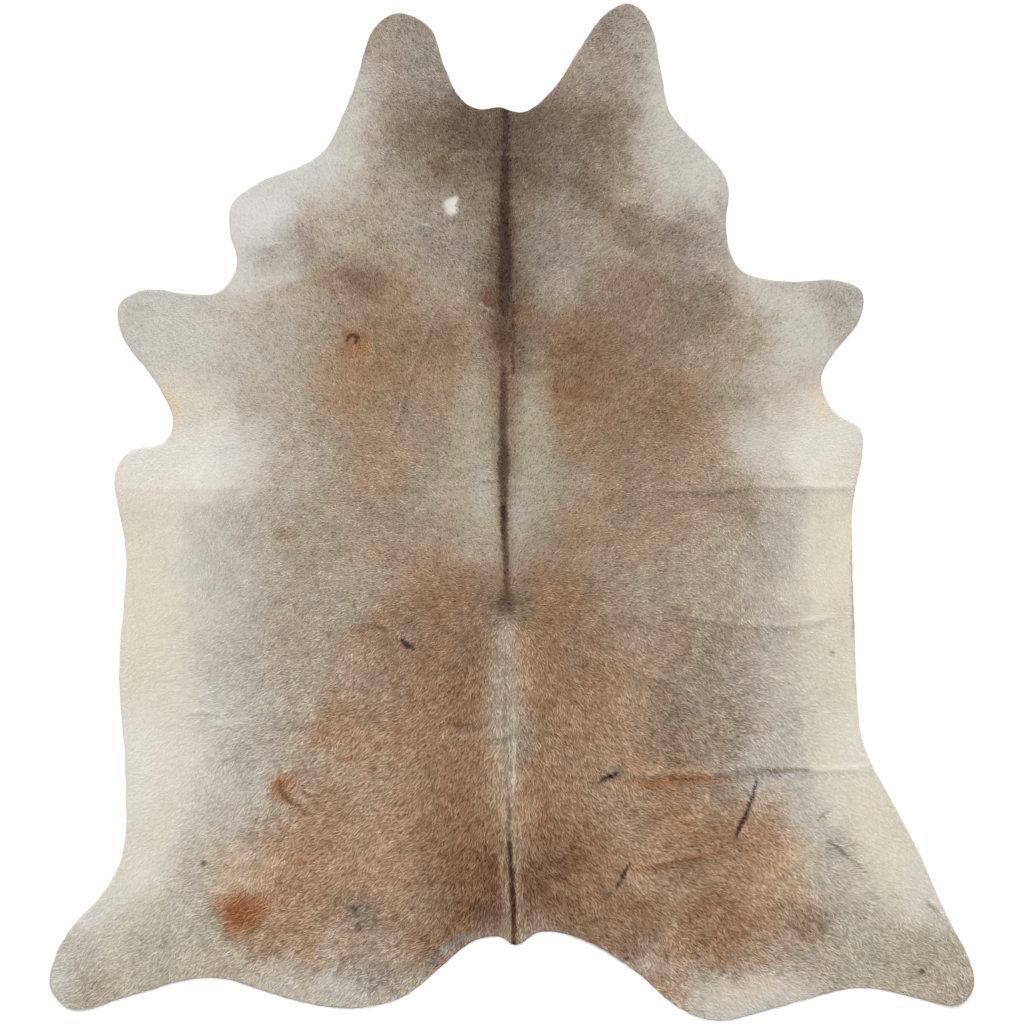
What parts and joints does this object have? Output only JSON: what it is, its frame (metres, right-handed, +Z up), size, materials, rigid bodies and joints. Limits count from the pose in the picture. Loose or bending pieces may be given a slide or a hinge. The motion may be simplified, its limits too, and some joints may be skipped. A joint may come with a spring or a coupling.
{
  "type": "cowhide rug",
  "caption": "Flat hair-on hide rug with its natural outline of neck flaps, legs, belly edges and tail root, laid hair side up.",
  "frame": {"origin": "on the floor under the middle of the hide's outline", "axes": "+Z up out of the hair side, +Y towards the neck end, +X towards the hide's right side as seen from above"},
  "size_m": [1.9996, 2.2, 0.012],
  "materials": {
    "hair_on_hide": "short flat hair in taupe, fawn, rust and cream over suede leather, soft low sheen"
  },
  "bodies": {
    "root": {"hide": "hair_on_hide"}
  },
  "joints": []
}
